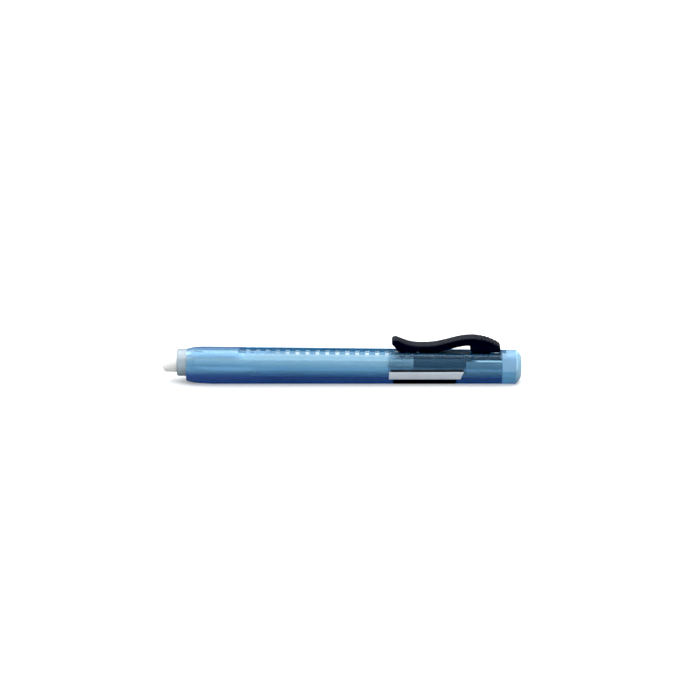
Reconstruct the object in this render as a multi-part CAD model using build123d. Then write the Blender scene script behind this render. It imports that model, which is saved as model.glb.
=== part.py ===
from build123d import *
import os
from math import cos, sin, tan, atan, radians, degrees, sqrt

os.makedirs("parts", exist_ok=True)

# Click eraser stick, lying on the bottom flat of its six-sided barrel.
# Millimetres.  Everything is drawn first along the line that the slider
# runs on: x to the rear, y across, w up, with w = 0 on the barrel's top flat
# (the flat with the slot).  The barrel tapers to the rear, so at the end the
# whole object is turned by the taper to set its bottom flat level.

# ---- driving dimensions ----------------------------------------------------
TIP_X = -61.5            # worn tip of the eraser
NOSE_X = -56.35          # front face of the nose collar
BARREL_X0 = -53.1        # front face of the barrel
SHOULDER_X1 = -40.0      # behind this the barrel keeps its full six-sided section
BARREL_X1 = 59.6         # rear face of the barrel, end plug seats here
END_X = 61.5             # rearmost face of the end plug
A_MID = 5.60             # half the width across flats at x = 0
A_SLOPE = 0.0049         # loss of that half width per mm to the rear
R_TOP, R_SIDE, R_BOT = 2.4, 0.9, 1.0   # rounding of the six long corners
AXIS_W = -5.0            # height of the bore and eraser axis
BORE_R = 4.1             # bore of the barrel
ERASER_R = 3.4
ERASER_LEN = 83.0
NOSE_R = 4.65
NOSE_BORE_R = 3.6
SPIGOT_X = -50.2         # inner end of the nose guide's spigot
SPIGOT_R = 4.06          # outer radius of that spigot
SEAT_R, RING_R = 4.45, 4.41   # seat bored in the barrel's rear end, ring of the end plug
SLOT_HALF = 1.55         # half width of the slot in the top flat
SLOT_X0, SLOT_TIP, SLOT_X1 = -33.2, -35.4, 56.2
RAIL_HALF = 2.75         # half width of the channel that the teeth run in
RAIL_W = -1.45           # underside of the rungs
NOTCH_W = -0.7           # top of the notches
NOTCH_HALF = 2.85
NOTCH_X0, NOTCH_PITCH, NOTCH_N = -32.1, 3.4, 26
NOTCH_LEN = 1.7
SLIDER_R = 3.9           # outer radius of chuck and carriage
CHUCK_X0, CHUCK_X1 = 15.9, 24.5
CHUCK_IN_R = 3.45
KEY_X0 = 18.3
KEY_HALF = 1.35
KEY_W = -0.3             # top of key and rib in the slot
CARR_X1 = 55.0
TRAY_IN_R = 3.0
TAIL_X0 = 42.6           # the tray's paler tail begins here
PIVOT_X, PIVOT_W = 28.0, -3.3
PIN_R, PIN_HOLE_R, PIN_HALF = 0.6, 0.65, 3.1
TONGUE_X1 = 54.6
NECK_X0, NECK_X1 = 44.6, 50.8
CLIP_HALF = 2.4          # half width of the clip
BLOCK_GAP = 0.5          # air between thumb block and top flat
FLEX_X, FLEX_W = 45.3, 4.2   # where the clip arm flexes
KNUCKLE_R, SOCKET_R = 1.38, 1.43
LABEL_X0, LABEL_X1 = 16.2, 41.7
LABEL_T = 0.12


def half_flats(x):
    return A_MID - A_SLOPE * x


def hexagon(x, a, cw, r_top, r_side, r_bot):
    """Rounded six-sided outline of half width a, centred at height cw."""
    radii = [r_side, r_top, r_top, r_side, r_bot, r_bot]
    arcs = []
    for k, r in enumerate(radii):
        th = radians(60 * k)
        d = (a - r) / cos(radians(30))
        cy, cz = d * cos(th), d * sin(th) + cw
        pts = [(x, cy + r * cos(th + s), cz + r * sin(th + s))
               for s in (radians(-30), 0.0, radians(30))]
        arcs.append(pts)
    edges = []
    for k in range(6):
        p = arcs[k]
        edges.append(ThreePointArc(*p))
        edges.append(Line(p[2], arcs[(k + 1) % 6][0]))
    return Face(Wire(edges))


def full_section(x, grow=0.0, shift=0.0):
    a = half_flats(x)
    return hexagon(x, a + grow, -a + shift, R_TOP + grow, R_SIDE + grow, R_BOT + grow)


def rod(x0, x1, r, w=AXIS_W, y=0.0):
    """Solid cylinder along x."""
    return Pos((x0 + x1) / 2, y, w) * Rot(0, 90, 0) * Cylinder(r, x1 - x0)


def cross_rod(x, w, r, half):
    """Solid cylinder along y."""
    return Pos(x, 0, w) * Rot(90, 0, 0) * Cylinder(r, 2 * half)


def block(x0, x1, y0, y1, w0, w1):
    return Pos((x0 + x1) / 2, (y0 + y1) / 2, (w0 + w1) / 2) * Box(x1 - x0, y1 - y0, w1 - w0)


def side_plate(points, half, y0=None, y1=None):
    """Plate cut to an outline in the x-w plane."""
    face = make_face(Polyline([(p[0], 0, p[1]) for p in points], close=True))
    if y0 is None:
        y0, y1 = -half, half
    return Pos(0, y0, 0) * extrude(face, amount=y1 - y0, dir=(0, 1, 0))


# ---- barrel ----------------------------------------------------------------
def turned_envelope(points, cw):
    """Round body about an x-wise axis at height cw, through (x, radius) points."""
    first, last = points[0], points[-1]
    curve = Spline([(p[0], 0, cw + p[1]) for p in points])
    ends = Polyline([(last[0], 0, cw + last[1]), (last[0], 0, cw), (first[0], 0, cw),
                     (first[0], 0, cw + first[1])])
    face = Face(Wire([*curve.edges(), *ends.edges()]))
    return revolve(face, axis=Axis((0, 0, cw), (1, 0, 0)))


front_round = turned_envelope(
    [(BARREL_X0, 5.36), (-52.9, 5.52), (-52.5, 5.66), (-51.9, 5.80), (-51.2, 5.97), (-50.3, 6.11),
     (-49.3, 6.20), (-47.9, 6.29), (-46.0, 6.41), (-43.0, 6.64), (SHOULDER_X1, 6.95)],
    -half_flats(-50.0))
barrel = loft([full_section(BARREL_X0), full_section(SHOULDER_X1)], ruled=True) & front_round
barrel += loft([full_section(SHOULDER_X1), full_section(BARREL_X1)], ruled=True)
barrel -= rod(BARREL_X0 - 1, BARREL_X1 + 1, BORE_R)
barrel -= rod(BARREL_X1 - 2.5, BARREL_X1 + 1, SEAT_R)          # seat of the end plug
slot = Polyline([(SLOT_TIP, 0), (SLOT_TIP + 0.35, 0.55), (SLOT_X0, SLOT_HALF),
                 (SLOT_X1, SLOT_HALF), (SLOT_X1, -SLOT_HALF),
                 (SLOT_X0, -SLOT_HALF), (SLOT_TIP + 0.35, -0.55)], close=True)
barrel -= Pos(0, 0, -2.6) * extrude(make_face(slot), amount=4.0)
barrel -= block(SLOT_X0, SLOT_X1, -RAIL_HALF, RAIL_HALF, -3.2, RAIL_W)
notch_profile = []
for n in range(NOTCH_N):
    xc = NOTCH_X0 + n * NOTCH_PITCH
    h = NOTCH_LEN / 2
    notch_profile.append(side_plate(
        [(xc - h - 0.15, RAIL_W - 0.2), (xc - h + 0.25, NOTCH_W),
         (xc + h, NOTCH_W), (xc + h, RAIL_W - 0.2)], NOTCH_HALF))
barrel -= notch_profile

# ---- nose guide: clear collar with a spigot pressed into the bore -----------
nose = rod(NOSE_X, BARREL_X0, NOSE_R)
nose = fillet(nose.edges().filter_by(GeomType.CIRCLE).group_by(Axis.X)[0], 0.7)
nose += rod(BARREL_X0, SPIGOT_X, SPIGOT_R)
nose -= rod(NOSE_X - 1, SPIGOT_X + 1, NOSE_BORE_R)
nose = chamfer(nose.edges().filter_by(GeomType.CIRCLE).group_by(Axis.X)[-1].sort_by(SortBy.RADIUS)[0], 0.35)

# ---- end plug: rounded cap with a ring that sits in the barrel's seat --------
rear_round = turned_envelope(
    [(END_X, 3.10), (61.30, 3.75), (60.80, 4.62), (60.10, 5.45), (59.55, 6.00), (58.8, 6.6)],
    -half_flats(60.5))
cap = loft([full_section(BARREL_X1), full_section(END_X)], ruled=True) & rear_round
cap += rod(BARREL_X1 - 2.5, BARREL_X1, RING_R)
cap -= rod(BARREL_X1 - 3, 60.4, 4.05)

# ---- eraser stick ------------------------------------------------------------
eraser = rod(TIP_X, TIP_X + ERASER_LEN, ERASER_R)
eraser = fillet(eraser.edges().filter_by(GeomType.CIRCLE).group_by(Axis.X)[0], 1.3)

# ---- chuck: slit collet with the key that runs in the slot --------------------
chuck = rod(CHUCK_X0, CHUCK_X1, SLIDER_R)
chuck = fillet(chuck.edges().filter_by(GeomType.CIRCLE).group_by(Axis.X)[0], 0.25)
key = make_face(Polyline([(KEY_X0, 0.0), (KEY_X0 + 0.35, 0.5), (KEY_X0 + 1.6, KEY_HALF),
                          (CHUCK_X1, KEY_HALF), (CHUCK_X1, -KEY_HALF),
                          (KEY_X0 + 1.6, -KEY_HALF), (KEY_X0 + 0.35, -0.5)], close=True))
chuck += Pos(0, 0, -1.5) * extrude(key, amount=KEY_W + 1.5)
chuck -= rod(CHUCK_X0 - 1, TIP_X + ERASER_LEN + 0.05, CHUCK_IN_R)
for ang in (45, 135, 225, 315):
    slit = Pos(CHUCK_X0 - 1 + 2.85, 0, AXIS_W) * Rot(ang, 0, 0) * Pos(0, 0, 3.6) * Box(5.7, 0.7, 2.4)
    chuck -= slit
chuck -= rod(20.0, CHUCK_X1 + 1, 1.3)

# ---- carriage: open tray behind the chuck -------------------------------------
carriage = rod(CHUCK_X1, CARR_X1, SLIDER_R)
carriage = fillet(carriage.edges().filter_by(GeomType.CIRCLE).group_by(Axis.X)[-1], 0.3)
carriage -= rod(25.8, 53.4, TRAY_IN_R)
carriage -= block(25.8, 60, -2.2, 2.2, AXIS_W, 0)
carriage -= block(25.8, 60, -5, 5, -2.4, 0)
carriage -= block(31.5, 60, -5, 5, -2.65, 0)
carriage -= block(41.0, 60, -5, 5, -3.0, 0)
carriage += block(CHUCK_X1, 25.8, -KEY_HALF, KEY_HALF, -1.5, KEY_W)
carriage += rod(22.2, CHUCK_X1, 1.3)
carriage += Pos(38.0, 0, -7.85) * Cylinder(1.6, 0.7)
carriage += Pos(38.0, 0, -7.05) * Cylinder(0.7, 0.9)
carriage -= cross_rod(PIVOT_X, PIVOT_W, PIN_R, PIN_HALF)
# the tail is a moulding of its own, keyed on a tab in the tray's floor
front_part = block(CHUCK_X0, TAIL_X0, -5, 5, -10, 1) + block(TAIL_X0 - 1, TAIL_X0 + 3.2, -1.4, 1.4, -10, -7.2)
tail = carriage - front_part
carriage = carriage & front_part

# ---- pivot pin ------------------------------------------------------------------
pin = cross_rod(PIVOT_X, PIVOT_W, PIN_R, PIN_HALF)
pin = chamfer(pin.edges().filter_by(GeomType.CIRCLE), 0.12)

# ---- ratchet tongue -------------------------------------------------------------
tongue = block(26.3, TONGUE_X1, -2.0, 2.0, -3.5, -2.1)
tongue += cross_rod(PIVOT_X, PIVOT_W, 1.1, 2.0)
tongue += block(26.3, TONGUE_X1, -KEY_HALF, KEY_HALF, -2.1, -1.0)
tongue += block(26.3, NECK_X0 - 0.4, -KEY_HALF, KEY_HALF, -1.0, KEY_W)
tongue += block(41.8, 52.0, -2.6, 2.6, -2.35, -2.0)
for n in (22, 23, 24):
    xc = NOTCH_X0 + n * NOTCH_PITCH
    for y0, y1 in ((-2.6, -1.3), (1.3, 2.6)):
        tongue += side_plate([(xc - 0.8, -2.1), (xc - 0.55, -1.55), (xc + 0.55, -1.55),
                              (xc + 0.65, -2.1)], 0, y0, y1)
tongue -= block(NECK_X0, NECK_X1, -KEY_HALF, KEY_HALF, -3.0, 0)
tongue -= block(NECK_X0 - 1.0, NECK_X1 + 2, -KEY_HALF - 0.0, KEY_HALF, -1.0, 0)
tongue -= block(NECK_X1 + 0.1, TONGUE_X1 + 1, -3, 3, -1.4, 0)
tongue -= cross_rod(PIVOT_X, PIVOT_W, PIN_HOLE_R, 3.0)

# ---- return spring --------------------------------------------------------------
SPRING_W0, SPRING_W1, WIRE_R, COIL_R = -7.5, -3.55, 0.18, 1.1
helix = Helix(pitch=(SPRING_W1 - SPRING_W0 - 2 * WIRE_R) / 5.0,
              height=SPRING_W1 - SPRING_W0 - 2 * WIRE_R, radius=COIL_R)
spring = sweep(Plane(origin=helix @ 0, z_dir=helix % 0) * Circle(WIRE_R), path=helix)
spring = Pos(38.0, 0, SPRING_W0 + WIRE_R + 0.03) * spring

# ---- thumb block and clip arm ------------------------------------------------------
top_line = [(17.55, 4.40), (18.2, 4.62), (18.85, 4.56), (19.8, 4.20), (21.6, 3.50), (23.7, 2.92),
            (25.7, 2.66), (28.5, 2.66), (30.5, 2.81), (32.6, 3.12), (34.0, 3.45),
            (36.0, 3.96), (37.6, 4.41), (39.4, 4.90), (41.0, 5.24), (42.8, 5.48),
            (44.2, 5.56), (45.3, FLEX_W + KNUCKLE_R)]
bottom_line = [(17.25, 2.75), (17.7, 2.30), (18.35, 1.45), (19.2, 0.45), (19.95, 0.24),
               (21.2, 0.20), (24.0, 0.30), (27.1, 0.38), (30.5, 0.42), (32.4, 0.52),
               (33.9, 0.75), (35.6, 1.12), (37.4, 1.58), (38.8, 2.00), (40.2, 2.38),
               (41.8, 2.68), (43.2, 2.80), (45.3, FLEX_W - KNUCKLE_R)]
arm_top = Spline([(p[0], 0, p[1]) for p in top_line])
arm_bot = Spline([(p[0], 0, p[1]) for p in bottom_line])
arm_nose = Polyline([(p[0], 0, p[1]) for p in
                     (bottom_line[0], (17.12, 3.3), (17.17, 3.95), top_line[0])])
arm_end = ThreePointArc((FLEX_X, 0, FLEX_W + KNUCKLE_R), (FLEX_X + KNUCKLE_R, 0, FLEX_W),
                        (FLEX_X, 0, FLEX_W - KNUCKLE_R))
arm_face = Face(Wire([*arm_top.edges(), *arm_end.edges(), *arm_bot.edges(), *arm_nose.edges()]))
arm = Pos(0, -CLIP_HALF, 0) * extrude(arm_face, amount=2 * CLIP_HALF, dir=(0, 1, 0))

LIP = (FLEX_X + SOCKET_R * sin(radians(25)), FLEX_W + SOCKET_R * cos(radians(25)))
hump = [LIP, (46.3, 5.47), (46.9, 5.40), (48.3, 5.16), (49.7, 4.76), (51.0, 4.23),
        (52.3, 3.60), (53.1, 3.14), (53.8, 2.56)]


def hump_w(x):
    for (xa, wa), (xb, wb) in zip(hump, hump[1:]):
        if x <= xb:
            return wa + (wb - wa) * (x - xa) / (xb - xa)
    return hump[-1][1]


# cross ribs of the thumb pad, one arc each
RIB_X0, RIB_PITCH, RIB_N, RIB_DEEP = 46.5, 1.20, 6, 0.20
hump_edges = [Line((LIP[0], 0, LIP[1]), (RIB_X0, 0, hump_w(RIB_X0)))]
last = (RIB_X0, 0, hump_w(RIB_X0))
for n in range(RIB_N):
    xa, xb = RIB_X0 + n * RIB_PITCH + 0.1, RIB_X0 + (n + 1) * RIB_PITCH
    xm = (xa + xb) / 2
    start = (xa, 0, hump_w(xa) - RIB_DEEP)
    hump_edges.append(Line(last, start))
    last = (xb, 0, hump_w(xb) - RIB_DEEP)
    hump_edges.append(ThreePointArc(start, (xm, 0, hump_w(xm)), last))
socket = ThreePointArc((45.13, 0, FLEX_W - sqrt(SOCKET_R ** 2 - 0.17 ** 2)),
                       (FLEX_X + SOCKET_R, 0, FLEX_W), (LIP[0], 0, LIP[1]))
rear_line = Polyline([last] + [(p[0], 0, p[1]) for p in
                     ((54.05, 1.90), (54.2, 1.2), (54.2, BLOCK_GAP), (44.3, BLOCK_GAP),
                      (44.3, 2.52), (45.13, FLEX_W - sqrt(SOCKET_R ** 2 - 0.17 ** 2)))])
block_face = Face(Wire([*hump_edges, *rear_line.edges(), *socket.edges()]))
thumb = Pos(0, -CLIP_HALF, 0) * extrude(block_face, amount=2 * CLIP_HALF, dir=(0, 1, 0))
thumb += block(NECK_X0, NECK_X1, -KEY_HALF, KEY_HALF, -3.0, BLOCK_GAP + 0.2)

# ---- label: paper sticker wrapped over the near corner -------------------------------
def label_band(x):
    a = half_flats(x)
    r = R_SIDE
    d = (a - r) / cos(radians(30))
    cy, cw = -d, -a
    upper, lower = 0.45, 6.5
    t = LABEL_T
    up = (sin(radians(30)), cos(radians(30)))     # along the upper near face, away from the corner
    lo = (sin(radians(30)), -cos(radians(30)))

    def ring(rr):
        p_up = (cy + rr * cos(radians(150)), cw + rr * sin(radians(150)))
        p_mid = (cy - rr, cw)
        p_lo = (cy + rr * cos(radians(210)), cw + rr * sin(radians(210)))
        e_up = (p_up[0] + up[0] * upper, p_up[1] + up[1] * upper)
        e_lo = (p_lo[0] + lo[0] * (lower - 1.35), p_lo[1] + lo[1] * (lower - 1.35))
        return e_up, p_up, p_mid, p_lo, e_lo
    o = ring(r + t)
    i = ring(r)
    P = lambda q: (x, q[0], q[1])
    edges = [Line(P(o[0]), P(o[1])), ThreePointArc(P(o[1]), P(o[2]), P(o[3])), Line(P(o[3]), P(o[4])),
             Line(P(o[4]), P(i[4])), Line(P(i[4]), P(i[3])), ThreePointArc(P(i[3]), P(i[2]), P(i[1])),
             Line(P(i[1]), P(i[0])), Line(P(i[0]), P(o[0]))]
    return Face(Wire(edges))


label = loft([label_band(LABEL_X0), label_band(LABEL_X1)], ruled=True)
# its rear end is cut a little askew
label -= side_plate([(LABEL_X1, -5.2), (LABEL_X1 - 1.15, -9.6), (LABEL_X1 + 2, -9.6),
                     (LABEL_X1 + 2, -5.2)], 8.0)

# ---- set the bottom flat level and write the pieces --------------------------------------
TILT = degrees(atan(2 * A_SLOPE))
pieces = {
    "barrel": barrel,
    "nose_guide": nose,
    "end_plug": cap,
    "label": label,
    "eraser_stick": eraser,
    "eraser_chuck": chuck,
    "carriage": carriage,
    "carriage_tail": tail,
    "pivot_pin": pin,
    "return_spring": spring,
    "ratchet_tongue": tongue,
    "thumb_block": thumb,
    "clip_arm": arm,
}
turned = {name: Rot(0, TILT, 0) * piece for name, piece in pieces.items()}
x_low = turned["eraser_stick"].bounding_box().min.X
x_high = turned["end_plug"].bounding_box().max.X
z_low = turned["barrel"].bounding_box().min.Z
shift = Pos(-(x_low + x_high) / 2, 0, -z_low)
for name, piece in turned.items():
    export_step(shift * piece, f"parts/{name}.step")
print("shift", -(x_low + x_high) / 2, -z_low, "tilt", TILT, "length", x_high - x_low)
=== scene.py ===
import bpy, bmesh, math, random
from mathutils import Vector, Matrix, noise


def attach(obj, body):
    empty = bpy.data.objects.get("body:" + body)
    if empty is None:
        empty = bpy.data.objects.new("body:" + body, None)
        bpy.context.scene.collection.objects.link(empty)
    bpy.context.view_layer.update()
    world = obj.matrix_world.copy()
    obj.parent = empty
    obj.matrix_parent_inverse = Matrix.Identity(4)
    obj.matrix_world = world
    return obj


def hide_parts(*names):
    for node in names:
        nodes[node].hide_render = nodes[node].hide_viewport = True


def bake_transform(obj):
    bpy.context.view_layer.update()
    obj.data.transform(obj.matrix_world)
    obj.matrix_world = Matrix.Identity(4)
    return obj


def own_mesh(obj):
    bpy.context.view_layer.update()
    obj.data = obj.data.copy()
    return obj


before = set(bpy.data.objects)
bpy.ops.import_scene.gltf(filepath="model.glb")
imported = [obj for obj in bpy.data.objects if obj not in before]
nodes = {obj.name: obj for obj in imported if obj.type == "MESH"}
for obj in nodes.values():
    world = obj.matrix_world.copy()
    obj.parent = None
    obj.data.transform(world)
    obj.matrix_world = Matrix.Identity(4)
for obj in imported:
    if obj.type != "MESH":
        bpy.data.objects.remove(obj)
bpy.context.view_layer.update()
scene = bpy.context.scene
random.seed(7)
noise.seed_set(7)

# ---------------------------------------------------------------- frame of the slider's line
# The barrel tapers, so its slotted top flat leans by TILT; the clip and the eraser are drawn
# along that line (x, y, w in mm, w = 0 on the top flat) and turned into the row frame here.
TILT = math.atan(0.0098)
DX, DZ = 0.045616, 11.199462


def row(x, y, w):
    return Vector(((x * math.cos(TILT) + w * math.sin(TILT) + DX) / 1000,
                   y / 1000,
                   (-x * math.sin(TILT) + w * math.cos(TILT) + DZ) / 1000))


# ---------------------------------------------------------------- camera
PX = 0.342e-3                     # metres per pixel of the 700 px frame
ELEV = math.radians(20.0)
DIST = 1.25
target = Vector((0.00287, 0.0, 0.01124))
cam_data = bpy.data.cameras.new("camera")
cam_data.sensor_width = 36.0
cam_data.lens = 36.0 * DIST / (700 * PX)
cam_data.clip_start = 0.05
cam_data.clip_end = 20.0
cam = bpy.data.objects.new("camera", cam_data)
scene.collection.objects.link(cam)
cam.location = target + DIST * Vector((0, -math.cos(ELEV), math.sin(ELEV)))
look = (target - cam.location).normalized()
cam.rotation_mode = "QUATERNION"
roll = Matrix.Rotation(math.radians(-0.04), 4, look)
cam.rotation_quaternion = (roll @ look.to_track_quat("-Z", "Y").to_matrix().to_4x4()).to_quaternion()
scene.camera = cam

# ---------------------------------------------------------------- light and floor
world = bpy.data.worlds.new("studio")
scene.world = world
world.use_nodes = True
wn = world.node_tree
wn.nodes.clear()
wout = wn.nodes.new("ShaderNodeOutputWorld")
wtex = wn.nodes.new("ShaderNodeTexCoord")
wdot = wn.nodes.new("ShaderNodeVectorMath")
wdot.operation = "DOT_PRODUCT"
wdot.inputs[1].default_value = Vector((-0.12, 0.12, 1.0)).normalized()
wn.links.new(wtex.outputs["Generated"], wdot.inputs[0])
wramp = wn.nodes.new("ShaderNodeValToRGB")
# one broad soft box overhead, a little behind the stick; the room round it is dim
LIGHT = 4.2
stops = [(0.0, 0.42), (0.28, 0.46), (0.44, 0.56), (0.58, 0.85), (0.72, 1.90), (0.82, 3.90), (1.0, 4.20)]
while len(wramp.color_ramp.elements) < len(stops):
    wramp.color_ramp.elements.new(0.5)
for e, (pos, v) in zip(wramp.color_ramp.elements, stops):
    e.position = pos
    k = v / LIGHT
    e.color = (k * 0.985, k * 0.995, k, 1)
wn.links.new(wdot.outputs["Value"], wramp.inputs["Fac"])
wbg = wn.nodes.new("ShaderNodeBackground")
wbg.inputs["Strength"].default_value = LIGHT
wn.links.new(wramp.outputs["Color"], wbg.inputs["Color"])
wpale = wn.nodes.new("ShaderNodeBackground")
wpale.inputs["Color"].default_value = (0.97, 0.975, 0.98, 1)
wpale.inputs["Strength"].default_value = 1.0
wpath = wn.nodes.new("ShaderNodeLightPath")
wmix = wn.nodes.new("ShaderNodeMixShader")
wn.links.new(wpath.outputs["Is Camera Ray"], wmix.inputs["Fac"])
wn.links.new(wbg.outputs[0], wmix.inputs[1])
wn.links.new(wpale.outputs[0], wmix.inputs[2])
wn.links.new(wmix.outputs[0], wout.inputs["Surface"])

floor_mesh = bpy.data.meshes.new("floor")
floor_mesh.from_pydata([(-6, -6, 0), (6, -6, 0), (6, 6, 0), (-6, 6, 0)], [], [(0, 1, 2, 3)])
floor = bpy.data.objects.new("floor", floor_mesh)
scene.collection.objects.link(floor)


# ---------------------------------------------------------------- material helpers
def new_material(name):
    m = bpy.data.materials.new(name)
    m.use_nodes = True
    t = m.node_tree
    t.nodes.clear()
    out = t.nodes.new("ShaderNodeOutputMaterial")
    p = t.nodes.new("ShaderNodeBsdfPrincipled")
    t.links.new(p.outputs[0], out.inputs["Surface"])
    return m, t, p, out


def node(t, kind, **values):
    n = t.nodes.new(kind)
    for k, v in values.items():
        if hasattr(n, k):
            setattr(n, k, v)
        else:
            n.inputs[k].default_value = v
    return n


def ramp(t, fac, stops, interpolation="LINEAR"):
    r = t.nodes.new("ShaderNodeValToRGB")
    r.color_ramp.interpolation = interpolation
    while len(r.color_ramp.elements) < len(stops):
        r.color_ramp.elements.new(0.5)
    for e, (pos, col) in zip(r.color_ramp.elements, stops):
        e.position = pos
        e.color = (*col, 1) if len(col) == 3 else col
    t.links.new(fac, r.inputs["Fac"])
    return r


def coords(t, scale=(1, 1, 1)):
    c = t.nodes.new("ShaderNodeTexCoord")
    mp = t.nodes.new("ShaderNodeMapping")
    mp.inputs["Scale"].default_value = scale
    t.links.new(c.outputs["Object"], mp.inputs["Vector"])
    return mp.outputs["Vector"]


def noise_tex(t, vec, scale, detail=3.0, rough=0.5):
    n = node(t, "ShaderNodeTexNoise")
    n.inputs["Scale"].default_value = scale
    n.inputs["Detail"].default_value = detail
    n.inputs["Roughness"].default_value = rough
    t.links.new(vec, n.inputs["Vector"])
    return n.outputs["Fac"]


def bump(t, p, height, strength, distance):
    b = t.nodes.new("ShaderNodeBump")
    b.inputs["Strength"].default_value = strength
    b.inputs["Distance"].default_value = distance
    t.links.new(height, b.inputs["Height"])
    t.links.new(b.outputs[0], p.inputs["Normal"])
    return b


def map_range(t, fac, a, b, c, d):
    n = t.nodes.new("ShaderNodeMapRange")
    n.inputs["From Min"].default_value = a
    n.inputs["From Max"].default_value = b
    n.inputs["To Min"].default_value = c
    n.inputs["To Max"].default_value = d
    t.links.new(fac, n.inputs["Value"])
    return n.outputs[0]


# floor: pale, very slightly mottled; to the camera it has a faint glow of its own, like a
# sheet over a light table, so the shadow on it stays pale, and it throws little light back up
m_floor, t, p, out = new_material("floor_paper")
v = coords(t)
f = noise_tex(t, v, 3.0, 2.0)
r = ramp(t, f, [(0.3, (0.59, 0.60, 0.61)), (0.7, (0.61, 0.62, 0.63))])
t.links.new(r.outputs[0], p.inputs["Base Color"])
p.inputs["Roughness"].default_value = 0.75
p.inputs["Specular IOR Level"].default_value = 0.1
glow = t.nodes.new("ShaderNodeEmission")
glow.inputs["Color"].default_value = (0.97, 0.985, 1.0, 1)
glow.inputs["Strength"].default_value = 0.30
both = t.nodes.new("ShaderNodeAddShader")
t.links.new(p.outputs[0], both.inputs[0])
t.links.new(glow.outputs[0], both.inputs[1])
dim = t.nodes.new("ShaderNodeBsdfDiffuse")
dim_r = ramp(t, f, [(0.3, (0.32, 0.325, 0.33)), (0.7, (0.34, 0.344, 0.348))])
t.links.new(dim_r.outputs[0], dim.inputs["Color"])
path = t.nodes.new("ShaderNodeLightPath")
pick = t.nodes.new("ShaderNodeMixShader")
t.links.new(path.outputs["Is Camera Ray"], pick.inputs["Fac"])
t.links.new(dim.outputs[0], pick.inputs[1])
t.links.new(both.outputs[0], pick.inputs[2])
t.links.new(pick.outputs[0], out.inputs["Surface"])
floor.data.materials.append(m_floor)


def line_height(t):
    """Height w over the leaning line of the slot, in metres, and the distance across."""
    c = t.nodes.new("ShaderNodeTexCoord")
    d = t.nodes.new("ShaderNodeVectorMath")
    d.operation = "DOT_PRODUCT"
    d.inputs[1].default_value = (math.sin(TILT), 0.0, math.cos(TILT))
    t.links.new(c.outputs["Object"], d.inputs[0])
    off = (DX * math.sin(TILT) + DZ * math.cos(TILT)) / 1000
    w = t.nodes.new("ShaderNodeMath")
    w.operation = "SUBTRACT"
    w.inputs[1].default_value = off
    t.links.new(d.outputs["Value"], w.inputs[0])
    xyz = t.nodes.new("ShaderNodeSeparateXYZ")
    t.links.new(c.outputs["Object"], xyz.inputs[0])
    y = t.nodes.new("ShaderNodeMath")
    y.operation = "ABSOLUTE"
    t.links.new(xyz.outputs["Y"], y.inputs[0])
    return w.outputs[0], y.outputs[0], xyz.outputs["X"]


def times(t, a, b):
    n = t.nodes.new("ShaderNodeMath")
    n.operation = "MULTIPLY"
    t.links.new(a, n.inputs[0])
    t.links.new(b, n.inputs[1])
    return n.outputs[0]


def plastic_clear(name, sigma, rough_lo, rough_hi, body, milk, ior=1.45, bump_d=0.00001, spec=0.5, zone=None, shade=None):
    """Tinted see-through plastic. It bends light, its depth of colour comes from its
    thickness, and a share of it, milk, scatters light back in the colour body. zone is a
    function that returns (mask, milk, colour) for each part that scatters more, some of them
    painted light or shade, and shade one that returns a tone of painted shade that darkens the plastic."""
    m, t, p, out = new_material(name)
    p.inputs["Base Color"].default_value = (1, 1, 1, 1)
    p.inputs["IOR"].default_value = ior
    p.inputs["Specular IOR Level"].default_value = spec
    p.inputs["Transmission Weight"].default_value = 1.0
    v = coords(t)
    f = noise_tex(t, v, 900.0, 4.0, 0.6)
    rough = map_range(t, f, 0.3, 0.7, rough_lo, rough_hi)
    t.links.new(rough, p.inputs["Roughness"])
    g = noise_tex(t, coords(t, (0.35, 1, 1)), 420.0, 3.0, 0.5)
    b = bump(t, p, g, 0.25, bump_d)
    q = t.nodes.new("ShaderNodeBsdfPrincipled")
    h = noise_tex(t, coords(t, (0.5, 1, 1)), 160.0, 3.0, 0.5)
    r = ramp(t, h, [(0.3, tuple(c * 0.94 for c in body)), (0.7, tuple(min(1.0, c * 1.06) for c in body))])
    colour = r.outputs[0]
    mix = t.nodes.new("ShaderNodeMixShader")
    mix.inputs["Fac"].default_value = milk
    share = None
    for mask, zone_milk, zone_body in (zone(t) if zone else ()):
        pick = t.nodes.new("ShaderNodeMix")
        pick.data_type = "FLOAT"
        t.links.new(mask, pick.inputs["Factor"])
        if share is None:
            pick.inputs[2].default_value = milk
        else:
            t.links.new(share, pick.inputs[2])
        pick.inputs[3].default_value = zone_milk
        share = pick.outputs[0]
        blend = t.nodes.new("ShaderNodeMix")
        blend.data_type = "RGBA"
        t.links.new(mask, blend.inputs["Factor"])
        t.links.new(colour, blend.inputs[6])
        blend.inputs[7].default_value = (*zone_body, 1)
        colour = blend.outputs[2]
    if share is not None:
        t.links.new(share, mix.inputs["Fac"])
    if shade:
        tone = shade(t)
        t.links.new(tone, p.inputs["Base Color"])
        dark = t.nodes.new("ShaderNodeMix")
        dark.data_type = "RGBA"
        dark.blend_type = "MULTIPLY"
        dark.inputs["Factor"].default_value = 1.0
        t.links.new(colour, dark.inputs[6])
        t.links.new(tone, dark.inputs[7])
        colour = dark.outputs[2]
    t.links.new(colour, q.inputs["Base Color"])
    t.links.new(rough, q.inputs["Roughness"])
    t.links.new(b.outputs[0], q.inputs["Normal"])
    q.inputs["IOR"].default_value = ior
    t.links.new(p.outputs[0], mix.inputs[1])
    t.links.new(q.outputs[0], mix.inputs[2])
    t.links.new(mix.outputs[0], out.inputs["Surface"])
    density = max(sigma) / 0.92
    va = t.nodes.new("ShaderNodeVolumeAbsorption")
    va.inputs["Color"].default_value = (*[1 - s / density for s in sigma], 1)
    va.inputs["Density"].default_value = density
    t.links.new(va.outputs[0], out.inputs["Volume"])
    return m


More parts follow.
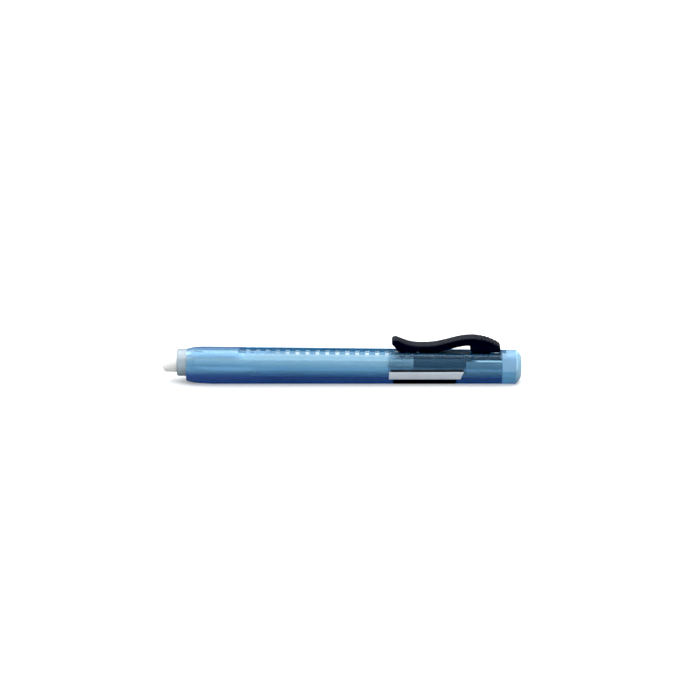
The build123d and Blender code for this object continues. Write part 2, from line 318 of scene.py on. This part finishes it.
def band(t, value, a, b, soft):
    """1 between a and b, falling to 0 over the distance soft on either side."""
    return times(t, map_range(t, value, a - soft, a, 0.0, 1.0), map_range(t, value, b, b + soft, 1.0, 0.0))


def beat(t, value, first, pitch, share):
    """1 over the given share of every pitch, centred on first, first + pitch and so on."""
    for kind, by in (("ADD", pitch / 2 - first), ("DIVIDE", pitch), ("FRACT", 0.0), ("SUBTRACT", 0.5), ("ABSOLUTE", 0.0)):
        n = t.nodes.new("ShaderNodeMath")
        n.operation = kind
        n.inputs[1].default_value = by
        t.links.new(value, n.inputs[0])
        value = n.outputs[0]
    return map_range(t, value, share / 2 - 0.02, share / 2 + 0.02, 1.0, 0.0)


def barrel_zone(t):
    """The walls of the rail and of the notches under the slotted flat and the lower half of the bore
    scatter more light back, so they look less clear. The thin webs over the notches are paler, the
    lower edges of the side flats milkier and the crown of the front end a darker blue. Painted shade:
    the strips beside the slot, its walls and its front end are dark blue, the rail and those strips are
    darker still from x = 15 mm back as the clip's painted shadow, and the foot is dark navy where little
    light reaches it. Painted light: the upper edges of the side flats carry a pale sheen, duller
    towards the front, a white highlight line runs along the bore from x = 44 mm back, and the barrel
    round the plugged end is paler where light comes through it."""
    w, y, x = line_height(t)
    up = t.nodes.new("ShaderNodeMath")
    up.operation = "ADD"
    up.inputs[1].default_value = 0.0050
    t.links.new(w, up.inputs[0])
    both = t.nodes.new("ShaderNodeMath")
    both.operation = "ADD"
    t.links.new(times(t, up.outputs[0], up.outputs[0]), both.inputs[0])
    t.links.new(times(t, y, y), both.inputs[1])
    inside = map_range(t, both.outputs[0], 0.00415 ** 2, 0.00425 ** 2, 1.0, 0.0)
    outside = map_range(t, both.outputs[0], 0.00415 ** 2, 0.00425 ** 2, 0.0, 1.0)
    below = map_range(t, w, -0.0078, -0.0062, 1.0, 0.0)
    # painted shadow: from x = 15 mm back the rail and the strips beside the slot are darkened where the clip's shadow
    # falls
    rear = map_range(t, x, 0.0150, 0.0200, 0.0, 1.0)
    front = map_range(t, x, -0.0365, -0.0335, 1.0, 0.0)
    rail = times(t, band(t, w, -0.0033, -0.00066, 0.00004), band(t, y, 0.00162, 0.00292, 0.00004))
    notch = times(t, band(t, w, -0.00170, -0.00066, 0.00003), band(t, y, 0.00280, 0.00292, 0.00002))
    slotted = map_range(t, x, -0.0345, -0.0240, 0.0, 1.0)
    slit = map_range(t, x, -0.0340, -0.0330, 0.0, 1.0)
    # painted shade: the strips beside the slot, the slot's walls and its front end are dark blue, the shade inside the
    # slot
    slot_strip_shade = times(t, slotted, times(t, map_range(t, w, -0.00064, -0.00060, 0.0, 1.0), map_range(t, y, 0.0030, 0.0033, 1.0, 0.0)))
    slot_lip_shade = times(t, slit, times(t, band(t, y, 0.00150, 0.00159, 0.00003), map_range(t, w, -0.0017, -0.0016, 0.0, 1.0)))
    web = times(t, beat(t, x, (-32.1 + DX) / 1000, 0.0034, 0.38),
                times(t, times(t, band(t, y, 0.00240, 0.00350, 0.00010), map_range(t, w, -0.0011, -0.0009, 0.0, 1.0)),
                      times(t, map_range(t, x, -0.0250, -0.0160, 0.0, 1.0), map_range(t, x, 0.0150, 0.0175, 1.0, 0.0))))
    # painted sheen: the upper edges of the side flats are paler where the overhead light catches them, duller towards
    # the front
    brow_sheen = times(t, band(t, w, -0.0020, -0.0006, 0.0006), times(t, outside, map_range(t, y, 0.0031, 0.0035, 0.0, 1.0)))
    ahead = map_range(t, x, 0.0150, 0.0200, 1.0, 0.0)
    belt = times(t, band(t, w, -0.0064, -0.0050, 0.0010), outside)
    tip = times(t, times(t, band(t, x, -0.0355, -0.0331, 0.0001), map_range(t, y, 0.0015, 0.0016, 1.0, 0.0)),
                band(t, w, -0.0016, -0.0001, 0.00004))
    crown = times(t, front, map_range(t, w, -0.0006, -0.0002, 0.0, 1.0))
    first = map_range(t, x, -0.0340, -0.0240, 1.0, 0.0)
    # painted highlight: a white line along the upper side of the bore from x = 44 mm back
    line = times(t, times(t, inside, band(t, w, -0.00270, -0.00226, 0.00008)), map_range(t, x, 0.0440, 0.0470, 0.0, 1.0))
    # painted shade: the outside of the foot turns dark navy, where little light reaches it
    foot = times(t, outside, map_range(t, w, -0.0082, -0.0062, 1.0, 0.0))
    # painted light: the barrel round the plugged end is paler, its lower part paler still, as light comes through there
    end = map_range(t, x, 0.0547, 0.0551, 0.0, 1.0)
    end_low = times(t, end, map_range(t, w, -0.0062, -0.0046, 1.0, 0.0))
    return ((rail, 0.80, (0.36, 0.64, 0.84)), (notch, 0.92, (0.80, 0.94, 1.0)),
            # painted shadow of the clip on the rail from x = 15 mm back; painted shade on the strips beside the slot,
            # its walls and front end, and the clip's painted shadow on those strips
            (times(t, rail, rear), 0.16, (0.05, 0.12, 0.20)), (slot_strip_shade, 0.85, (0.06, 0.19, 0.32)),
            (slot_lip_shade, 0.85, (0.03, 0.13, 0.27)), (tip, 0.85, (0.03, 0.13, 0.27)), (crown, 0.30, (0.12, 0.25, 0.42)), (times(t, slot_strip_shade, rear), 0.55, (0.022, 0.055, 0.090)),
            (web, 0.90, (0.42, 0.52, 0.60)), (times(t, inside, below), 0.80, (0.26, 0.60, 0.92)),
            # painted sheen on the upper edges of the side flats, duller at the front
            (times(t, brow_sheen, ahead), 0.40, (0.50, 0.80, 0.98)), (times(t, brow_sheen, front), 0.44, (0.26, 0.40, 0.52)),
            (belt, 0.32, (0.20, 0.47, 0.72)), (times(t, belt, first), 0.50, (0.20, 0.46, 0.71)),
            # painted shade along the foot, a little lighter at the front; painted highlight line along the bore
            (foot, 0.68, (0.060, 0.165, 0.47)), (times(t, foot, first), 0.68, (0.080, 0.20, 0.55)), (line, 0.96, (1.0, 1.0, 1.0)),
            # painted light round the plugged end
            (end, 0.42, (0.38, 0.60, 0.79)), (end_low, 0.56, (0.32, 0.74, 1.0)))


def barrel_painted_shade(t):
    """Painted shade: the base colour deepens towards the foot of the barrel, where little light reaches it. The plugged
    end is left out of it and only lightly tinted, kept pale as painted light.
    """
    w, _, x = line_height(t)
    r = ramp(t, map_range(t, w, -0.0098, -0.0072, 0.0, 1.0),
             [(0.0, (0.88, 0.60, 0.66)), (0.45, (0.90, 0.68, 0.74)), (1.0, (1.0, 1.0, 1.0))])
    end = t.nodes.new("ShaderNodeMix")
    end.data_type = "RGBA"
    t.links.new(map_range(t, x, 0.0547, 0.0551, 0.0, 1.0), end.inputs["Factor"])
    t.links.new(r.outputs[0], end.inputs[6])
    end.inputs[7].default_value = (0.92, 0.97, 1, 1)
    return end.outputs[2]


def spigot_zone(t):
    """The part of the nose guide inside the barrel is milky."""
    _, _, x = line_height(t)
    return ((map_range(t, x, -0.0533, -0.0529, 0.0, 1.0), 0.80, (0.88, 0.93, 0.96)),)


def nose_painted_shade(t):
    """Painted shade on the nose guide: darker along its underside, where it nears the floor, at its front rim, and a
    little duller along its top, toning down the overhead light there.
    """
    w, _, x = line_height(t)
    r = ramp(t, map_range(t, w, -0.0093, -0.0004, 0.0, 1.0),
             [(0.0, (0.14, 0.19, 0.21)), (0.055, (0.42, 0.50, 0.54)), (0.13, (1.0, 1.0, 1.0)),
              (0.60, (1.0, 1.0, 1.0)), (0.84, (0.84, 0.83, 0.83)), (1.0, (0.74, 0.75, 0.75))])
    rim = t.nodes.new("ShaderNodeMix")
    rim.data_type = "RGBA"
    t.links.new(map_range(t, x, -0.05635, -0.05600, 1.0, 0.0), rim.inputs["Factor"])
    t.links.new(r.outputs[0], rim.inputs[6])
    rim.inputs[7].default_value = (0.30, 0.36, 0.40, 1)
    return rim.outputs[2]


m_barrel = plastic_clear("barrel_blue_plastic", (320.0, 104.0, 12.0), 0.12, 0.18, (0.20, 0.50, 0.84), 0.06,
                         ior=1.27, bump_d=0.000004, spec=0.8, zone=barrel_zone, shade=barrel_painted_shade)
m_plug = plastic_clear("plug_blue_plastic", (90.0, 30.0, 8.0), 0.18, 0.26, (0.39, 0.68, 0.90), 0.75)
m_nose = plastic_clear("nose_clear_plastic", (60.0, 32.0, 24.0), 0.16, 0.24, (0.60, 0.74, 0.84), 0.40, zone=spigot_zone, shade=nose_painted_shade)

# dark moulded plastic of the slider inside
m_dark, t, p, out = new_material("slider_dark_plastic")
v = coords(t)
f = noise_tex(t, v, 500.0, 4.0)
r = ramp(t, f, [(0.3, (0.006, 0.010, 0.022)), (0.75, (0.014, 0.020, 0.036))])
t.links.new(r.outputs[0], p.inputs["Base Color"])
t.links.new(map_range(t, f, 0.3, 0.7, 0.35, 0.5), p.inputs["Roughness"])
p.inputs["Specular IOR Level"].default_value = 0.12
bump(t, p, f, 0.3, 0.00002)

# mid blue-grey plastic of the slider's tail
m_tail, t, p, out = new_material("tail_blue_grey_plastic")
v = coords(t)
f = noise_tex(t, v, 450.0, 4.0)
r = ramp(t, f, [(0.3, (0.22, 0.28, 0.34)), (0.7, (0.28, 0.34, 0.40))])
t.links.new(r.outputs[0], p.inputs["Base Color"])
t.links.new(map_range(t, f, 0.3, 0.7, 0.35, 0.5), p.inputs["Roughness"])
p.inputs["Specular IOR Level"].default_value = 0.25
bump(t, p, f, 0.3, 0.00002)

# grey plastic of the chuck
m_chuck, t, p, out = new_material("chuck_grey_plastic")
v = coords(t)
f = noise_tex(t, v, 400.0, 4.0)
r = ramp(t, f, [(0.3, (0.30, 0.32, 0.35)), (0.7, (0.36, 0.38, 0.41))])
t.links.new(r.outputs[0], p.inputs["Base Color"])
t.links.new(map_range(t, f, 0.3, 0.7, 0.35, 0.5), p.inputs["Roughness"])
bump(t, p, f, 0.3, 0.00002)

# black clip: satin moulded plastic, its roughness varying a little at random
m_clip, t, p, out = new_material("clip_black_plastic")
v = coords(t)
f = noise_tex(t, v, 260.0, 4.0)
r = ramp(t, f, [(0.3, (0.0045, 0.0050, 0.0100)), (0.75, (0.0075, 0.0085, 0.0150))])
t.links.new(r.outputs[0], p.inputs["Base Color"])
g = noise_tex(t, v, 2400.0, 3.0)
t.links.new(map_range(t, g, 0.3, 0.7, 0.38, 0.50), p.inputs["Roughness"])
p.inputs["Specular IOR Level"].default_value = 0.08
bump(t, p, g, 0.25, 0.000008)

# white eraser
m_eraser, t, p, out = new_material("eraser_vinyl")
v = coords(t)
f = noise_tex(t, v, 300.0, 5.0)
r = ramp(t, f, [(0.3, (0.89, 0.89, 0.86)), (0.7, (0.94, 0.94, 0.92))])
t.links.new(r.outputs[0], p.inputs["Base Color"])
p.inputs["Roughness"].default_value = 0.72
bump(t, p, noise_tex(t, v, 1500.0, 4.0), 0.3, 0.00003)

# steel
m_steel, t, p, out = new_material("steel")
v = coords(t)
f = noise_tex(t, v, 900.0, 3.0)
r = ramp(t, f, [(0.3, (0.50, 0.50, 0.51)), (0.7, (0.62, 0.62, 0.63))])
t.links.new(r.outputs[0], p.inputs["Base Color"])
p.inputs["Metallic"].default_value = 1.0
t.links.new(map_range(t, f, 0.3, 0.7, 0.25, 0.4), p.inputs["Roughness"])

# label: matt white paper, a little grey and rubbed
m_label, t, p, out = new_material("label_paper")
v = coords(t)
f = noise_tex(t, v, 420.0, 5.0, 0.6)
r = ramp(t, f, [(0.30, (0.74, 0.83, 0.93)), (0.62, (0.84, 0.91, 0.99)), (0.80, (0.88, 0.94, 1.0))])
t.links.new(r.outputs[0], p.inputs["Base Color"])
t.links.new(map_range(t, f, 0.3, 0.7, 0.5, 0.68), p.inputs["Roughness"])
p.inputs["Specular IOR Level"].default_value = 0.3
bump(t, p, noise_tex(t, v, 3200.0, 3.0), 0.3, 0.000012)

# dark bands along the top edge of the label and below it, down to the foot of the barrel
m_border, t, p, out = new_material("label_border_dark")
v = coords(t, (0.6, 1, 1))
f = noise_tex(t, v, 900.0, 5.0, 0.65)
r = ramp(t, f, [(0.30, (0.002, 0.005, 0.009)), (0.66, (0.006, 0.012, 0.020)), (0.78, (0.05, 0.07, 0.09))])
t.links.new(r.outputs[0], p.inputs["Base Color"])
t.links.new(map_range(t, f, 0.3, 0.7, 0.35, 0.55), p.inputs["Roughness"])
p.inputs["Specular IOR Level"].default_value = 0.25


def dress(name, *mats):
    o = nodes[name]
    o.data.materials.clear()
    for m in mats:
        o.data.materials.append(m)


dress("barrel", m_barrel)
dress("end_plug", m_plug)
dress("nose_guide", m_nose)
dress("label", m_label)
dress("eraser_stick", m_eraser)
dress("eraser_chuck", m_chuck)
dress("carriage_tail", m_tail)
for n in ("carriage", "ratchet_tongue"):
    dress(n, m_dark)
for n in ("thumb_block", "clip_arm"):
    dress(n, m_clip)
for n in ("pivot_pin", "return_spring"):
    dress(n, m_steel)


# ---------------------------------------------------------------- mesh helpers
def hermite(points, step):
    """Points about step apart along a smooth line through points (tuples of equal length,
    the first two numbers are x and w), closed into a loop."""
    n = len(points)
    out = []
    for i in range(n):
        p0, p1, p2, p3 = (points[(i + k - 1) % n] for k in range(4))

        def gap(a, b):
            return max(1e-6, math.hypot(a[0] - b[0], a[1] - b[1])) ** 0.5
        d0, d1, d2 = gap(p0, p1), gap(p1, p2), gap(p2, p3)
        m1 = [(b - a) / d0 - (c - a) / (d0 + d1) + (c - b) / d1 for a, b, c in zip(p0, p1, p2)]
        m2 = [(c - b) / d1 - (d - b) / (d1 + d2) + (d - c) / d2 for b, c, d in zip(p1, p2, p3)]
        m1 = [m * d1 for m in m1]
        m2 = [m * d1 for m in m2]
        k = max(1, round(math.hypot(p2[0] - p1[0], p2[1] - p1[1]) / step))
        for j in range(k):
            u = j / k
            a, b, c, d = 2*u**3 - 3*u**2 + 1, u**3 - 2*u**2 + u, -2*u**3 + 3*u**2, u**3 - u**2
            out.append(tuple(a*q1 + b*q2 + c*q3 + d*q4 for q1, q2, q3, q4 in zip(p1, m1, p2, m2)))
    return out


def make_object(name, bm, material, smooth_deg=40.0):
    me = bpy.data.meshes.new(name)
    bmesh.ops.recalc_face_normals(bm, faces=bm.faces[:])
    bm.to_mesh(me)
    bm.free()
    for q in me.polygons:
        q.use_smooth = True
    me.set_sharp_from_angle(angle=math.radians(smooth_deg))
    o = bpy.data.objects.new(name, me)
    scene.collection.objects.link(o)
    for m in (material if isinstance(material, (list, tuple)) else [material]):
        me.materials.append(m)
    return o


# ---------------------------------------------------------------- the clip: one moulding
# Side outline (x, w), then the radius that its edge is rounded to and how much of the
# crown and of the ribs it carries. It runs from the tip of the foot along the top to the
# pad, down the rear, along the base, up the arch and back along the underside.
HALF = 2.4
CROWN = 0.10
RIB_X0, RIB_PITCH, RIB_N, RIB_DEPTH = 45.5, 1.32, 6, 0.26
outline = [
    (17.22, 2.85, 0.34, 0.0), (17.08, 3.43, 0.40, 0.0), (17.14, 3.98, 0.44, 0.1),
    (17.48, 4.44, 0.46, 0.4), (18.04, 4.69, 0.52, 0.8), (18.70, 4.65, 0.60, 1.0),
    (19.60, 4.34, 0.68, 1.0), (20.60, 3.94, 0.72, 1.0), (21.60, 3.57, 0.75, 1.0),
    (22.60, 3.25, 0.76, 1.0), (23.70, 2.99, 0.76, 1.0), (25.70, 2.73, 0.76, 1.0),
    (28.50, 2.73, 0.76, 1.0), (30.50, 2.88, 0.76, 1.0), (32.60, 3.19, 0.76, 1.0),
    (34.00, 3.52, 0.76, 1.0), (36.00, 4.03, 0.76, 1.0), (37.60, 4.48, 0.76, 1.0),
    (39.40, 4.97, 0.76, 1.0), (41.00, 5.31, 0.76, 1.0), (42.80, 5.55, 0.76, 1.0),
    (44.40, 5.64, 0.76, 1.0), (45.60, 5.61, 0.76, 1.0), (46.90, 5.48, 0.76, 1.0),
    (48.30, 5.24, 0.76, 1.0), (49.70, 4.85, 0.74, 1.0), (51.00, 4.33, 0.72, 1.0),
    (52.30, 3.70, 0.68, 1.0), (53.20, 3.17, 0.64, 0.8), (53.80, 2.63, 0.60, 0.4),
    (54.12, 2.03, 0.56, 0.1), (54.20, 1.45, 0.50, 0.0), (54.18, 0.74, 0.34, 0.0),
    (54.02, 0.53, 0.22, 0.0), (53.60, 0.50, 0.20, 0.0), (51.80, 0.50, 0.20, 0.0),
    (49.00, 0.50, 0.20, 0.0), (46.40, 0.50, 0.20, 0.0), (44.55, 0.50, 0.20, 0.0),
    (44.10, 0.53, 0.22, 0.0), (43.92, 0.74, 0.26, 0.0), (43.90, 1.30, 0.30, 0.0),
    (43.90, 2.02, 0.30, 0.0), (43.82, 2.44, 0.30, 0.0), (43.52, 2.70, 0.30, 0.0),
    (43.00, 2.77, 0.30, 0.0), (41.80, 2.66, 0.32, 0.0), (40.20, 2.34, 0.34, 0.0),
    (38.80, 1.96, 0.34, 0.0), (37.40, 1.54, 0.34, 0.0), (35.60, 1.10, 0.34, 0.0),
    (33.90, 0.72, 0.34, 0.0), (32.20, 0.52, 0.34, 0.0), (30.50, 0.42, 0.34, 0.0),
    (27.10, 0.38, 0.34, 0.0), (24.00, 0.30, 0.34, 0.0), (21.20, 0.20, 0.34, 0.0),
    (19.98, 0.24, 0.34, 0.0), (19.32, 0.42, 0.34, 0.0), (18.90, 0.86, 0.34, 0.0),
    (18.35, 1.58, 0.34, 0.0), (17.76, 2.26, 0.34, 0.0),
]


def build_clip():
    loop = hermite(outline, 0.16)
    n = len(loop)
    P = [Vector((a[0], a[1])) for a in loop]
    N = []
    for i in range(n):
        d = Vector((0.0, 0.0))
        for k in (1, 2, 3):
            d += P[(i + k) % n] - P[(i - k) % n]
        d.normalize()
        N.append(Vector((-d.y, d.x)))
    rib = []
    for (x, w, r, crown) in loop:
        h = 0.0
        if w > 2.0 and RIB_X0 <= x <= RIB_X0 + RIB_N * RIB_PITCH:
            u = (x - RIB_X0) / RIB_PITCH
            h = -RIB_DEPTH * (1.0 - abs(math.sin(math.pi * u)) ** 0.7)
        rib.append(h)
    # y levels from the near side to the far side: (share of the edge arc, or a fraction of the flat)
    arc = [math.radians(a) for a in (0, 15, 30, 45, 60, 75, 90)]
    rows = []
    for side in (-1, 1):
        half = []
        half.append(("face", 0.06))
        for a in arc:
            half.append(("arc", a))
        for fr in (0.97, 0.72, 0.42, 0.14):
            half.append(("flat", fr))
        rows += [(side, h) for h in (half if side < 0 else half[::-1])]
    bm = bmesh.new()
    rings = []
    for side, (kind, val) in rows:
        ring = []
        for i in range(n):
            x, w, r, crown = loop[i]
            if kind == "face":
                y, inset, grow, ribf = HALF, r + val, 0.0, 0.0
            elif kind == "arc":
                y, inset, grow = HALF - r * (1 - math.cos(val)), r * (1 - math.sin(val)), 0.0
                ribf = min(1.0, math.sin(val) ** 1.5)
            else:
                y, inset = (HALF - r) * val, 0.0
                grow = CROWN * crown * (1 - val ** 2)
                ribf = 1.0
            q = P[i] + N[i] * (grow - inset + rib[i] * ribf)
            ring.append(bm.verts.new(row(q.x, side * y, q.y)))
        rings.append(ring)
    for a, b in zip(rings, rings[1:]):
        for i in range(n):
            j = (i + 1) % n
            bm.faces.new((a[i], a[j], b[j], b[i]))
    caps = [bm.faces.new(rings[0]), bm.faces.new(rings[-1][::-1])]
    bmesh.ops.triangulate(bm, faces=caps, ngon_method="EAR_CLIP")
    # the neck that goes down through the slot to the ratchet tongue
    nx0, nx1, ny, w0, w1 = 44.65, 50.8, 1.35, -3.0, 0.75
    neck = []
    rr = 0.3
    for cx, cy, a0 in ((nx1 - rr, ny - rr, 0), (nx0 + rr, ny - rr, 90), (nx0 + rr, -ny + rr, 180), (nx1 - rr, -ny + rr, 270)):
        for k in range(6):
            a = math.radians(a0 + 90 * k / 5)
            neck.append((cx + rr * math.cos(a), cy + rr * math.sin(a)))
    lo = [bm.verts.new(row(x, y, w0)) for x, y in neck]
    hi = [bm.verts.new(row(x, y, w1)) for x, y in neck]
    m = len(neck)
    for i in range(m):
        j = (i + 1) % m
        bm.faces.new((lo[i], lo[j], hi[j], hi[i]))
    bm.faces.new(lo[::-1])
    bm.faces.new(hi)
    return make_object("pocket_clip", bm, m_clip, 50.0)


clip = build_clip()
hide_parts("clip_arm", "thumb_block")
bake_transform(clip)


# ---------------------------------------------------------------- the eraser, worn at its tip
def build_eraser():
    x0, x1, r, axis = -61.5, 21.48, 3.38, -5.0
    lens = [0.0, 0.05, 0.14, 0.28, 0.46, 0.68, 0.94, 1.24, 1.6, 2.0, 2.5, 3.1, 3.8, 4.6, 5.5, 6.5, 8.0, 10.0]
    dist = lens + [10.0 + (x1 - x0 - 10.2) * k / 30 for k in range(1, 30)] + [x1 - x0 - 0.2, x1 - x0 - 0.05, x1 - x0]
    seg = 72
    bm = bmesh.new()
    rings = []
    total = x1 - x0
    for d in dist:
        ring = []
        for k in range(seg):
            a = 2 * math.pi * k / seg
            ca, sa = math.cos(a), math.sin(a)
            # dome at the tip, rubbed away further on the near upper side than below
            dome = 2.6 + 1.5 * sa - 0.3 * ca
            if d < dome:
                u = 1 - d / dome
                f = math.sqrt(max(0.0, 1 - u ** 2.2)) if u < 1 else 0.0
                f = max(f, 0.0)
            else:
                f = 1.0
            if total - d < 0.25:
                f = 1.0 - 0.12 * (1 - (total - d) / 0.25) ** 2
            rad = r * f
            q = Vector((d * 0.35, ca * rad * 0.9, sa * rad * 0.9))
            near_tip = max(0.0, 1 - d / 7.0)
            rad += (noise.noise(q * 1.3) * 0.10 + noise.noise(q * 4.0) * 0.03) * near_tip * min(1.0, f * 1.5) - 0.05 * near_tip
            x = x0 + d + (0.10 * noise.noise(q * 0.9 + Vector((5, 1, 2))) + 0.06) * near_tip
            ring.append(bm.verts.new(row(x, rad * ca, axis + rad * sa)))
        rings.append(ring)
    for a, b in zip(rings, rings[1:]):
        for i in range(seg):
            j = (i + 1) % seg
            bm.faces.new((a[i], a[j], b[j], b[i]))
    # close both ends on a middle point
    for ring, flip in ((rings[0], True), (rings[-1], False)):
        mid = sum((q.co for q in ring), Vector()) / seg
        c = bm.verts.new(mid)
        for i in range(seg):
            j = (i + 1) % seg
            bm.faces.new((ring[i], c, ring[j]) if flip else (ring[j], c, ring[i]))
    bmesh.ops.remove_doubles(bm, verts=bm.verts[:], dist=2e-6)
    return make_object("eraser_refill", bm, m_eraser, 60.0)


eraser = build_eraser()
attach(eraser, "refill")
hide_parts("eraser_stick")


# ---------------------------------------------------------------- the return spring
def build_spring():
    x0, w0, w1, coil, wire, turns, seg = 38.0, -7.28, -3.71, 1.1, 0.18, 5, 12
    bm = bmesh.new()
    rings = []
    steps = turns * 40
    climb = (w1 - w0) / (2 * math.pi * turns)
    lean = math.atan(climb / coil)
    for i in range(steps + 1):
        a = 2 * math.pi * turns * i / steps
        out = Vector((math.cos(a), math.sin(a), 0.0))
        up = Vector((math.sin(a) * math.sin(lean), -math.cos(a) * math.sin(lean), math.cos(lean)))
        mid = Vector((x0 + coil * math.cos(a), coil * math.sin(a), w0 + climb * a))
        ring = []
        for k in range(seg):
            b = 2 * math.pi * k / seg
            q = mid + (out * math.cos(b) + up * math.sin(b)) * wire
            ring.append(bm.verts.new(row(q.x, q.y, q.z)))
        rings.append(ring)
    for a, b in zip(rings, rings[1:]):
        for k in range(seg):
            j = (k + 1) % seg
            bm.faces.new((a[k], a[j], b[j], b[k]))
    bm.faces.new(rings[0][::-1])
    bm.faces.new(rings[-1])
    return make_object("lever_spring", bm, m_steel, 50.0)


coil_spring = build_spring()
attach(coil_spring, "slider")
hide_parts("return_spring")
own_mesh(coil_spring)


# ---------------------------------------------------------------- the label and its border
from mathutils.bvhtree import BVHTree
deps = bpy.context.evaluated_depsgraph_get()
barrel_tree = BVHTree.FromObject(nodes["barrel"], deps)


def on_barrel(x, z, lift):
    """Point of the near side of the barrel at x and height z (metres), lifted off by lift."""
    hit, normal, _, _ = barrel_tree.ray_cast(Vector((x, -0.05, z)), Vector((0, 1, 0)))
    if normal.y > 0:
        normal = -normal
    return hit + normal * lift


def build_patch(name, material, xa, xb, lower, upper, nx, nz, lift):
    """Thin closed sheet on the near side between the height lines lower(x) and upper(x);
    xa and xb give the ends as functions of the share of the height."""
    bm = bmesh.new()
    skins = []
    for off in (lift, 0.000004):
        grid = []
        for j in range(nz + 1):
            v = j / nz
            line = []
            for i in range(nx + 1):
                u = i / nx
                x = xa(v) + (xb(v) - xa(v)) * u
                z = lower(x) + (upper(x) - lower(x)) * v
                line.append(bm.verts.new(on_barrel(x, z, off)))
            grid.append(line)
        skins.append(grid)
    outer, inner = skins
    for j in range(nz):
        for i in range(nx):
            bm.faces.new((outer[j][i], outer[j][i + 1], outer[j + 1][i + 1], outer[j + 1][i]))
            bm.faces.new((inner[j][i], inner[j + 1][i], inner[j + 1][i + 1], inner[j][i + 1]))
    for i in range(nx):
        bm.faces.new((outer[0][i], inner[0][i], inner[0][i + 1], outer[0][i + 1]))
        bm.faces.new((outer[nz][i], outer[nz][i + 1], inner[nz][i + 1], inner[nz][i]))
    for j in range(nz):
        bm.faces.new((outer[j][0], outer[j + 1][0], inner[j + 1][0], inner[j][0]))
        bm.faces.new((outer[j][nx], inner[j][nx], inner[j + 1][nx], outer[j + 1][nx]))
    return make_object(name, bm, material, 45.0)


def wob(x, seed, size):
    return noise.noise(Vector((x * 900, seed, 0.3))) * size


label_panel = build_patch(
    "label_panel", m_label,
    lambda v: 0.01616 + 0.00006 * v, lambda v: 0.04060 + 0.00105 * v,
    lambda x: 0.00228 + wob(x, 1.7, 0.00003), lambda x: 0.00545 + wob(x, 4.1, 0.00002),
    120, 26, 0.00010)
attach(label_panel, "barrel_body")
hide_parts("label")
bar_top = build_patch(
    "label_border_top", m_border,
    lambda v: 0.01670 - 0.0001 * v, lambda v: 0.04150 + 0.0002 * v,
    lambda x: 0.00550, lambda x: 0.00628 + wob(x, 7.9, 0.00005),
    120, 10, 0.00005)
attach(bar_top, "barrel_body")
bar_low = build_patch(
    "label_border_low", m_border,
    lambda v: 0.01765 - 0.0002 * v, lambda v: 0.03905 + 0.0003 * v,
    lambda x: 0.00010, lambda x: 0.00225,
    120, 12, 0.00005)
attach(bar_low, "barrel_body")

# ---------------------------------------------------------------- render options that belong to the look
scene.view_settings.view_transform = "Standard"
scene.view_settings.look = "None"
scene.view_settings.use_curve_mapping = True
scene.view_settings.curve_mapping.black_level = (0.010, 0.010, 0.010)
scene.view_settings.curve_mapping.update()
scene.cycles.max_bounces = 24
scene.cycles.transmission_bounces = 20
scene.cycles.diffuse_bounces = 6
scene.cycles.glossy_bounces = 8
scene.cycles.transparent_max_bounces = 16
scene.cycles.caustics_refractive = True
scene.cycles.caustics_reflective = True
scene.cycles.blur_glossy = 0.5
scene.cycles.sample_clamp_indirect = 4.0
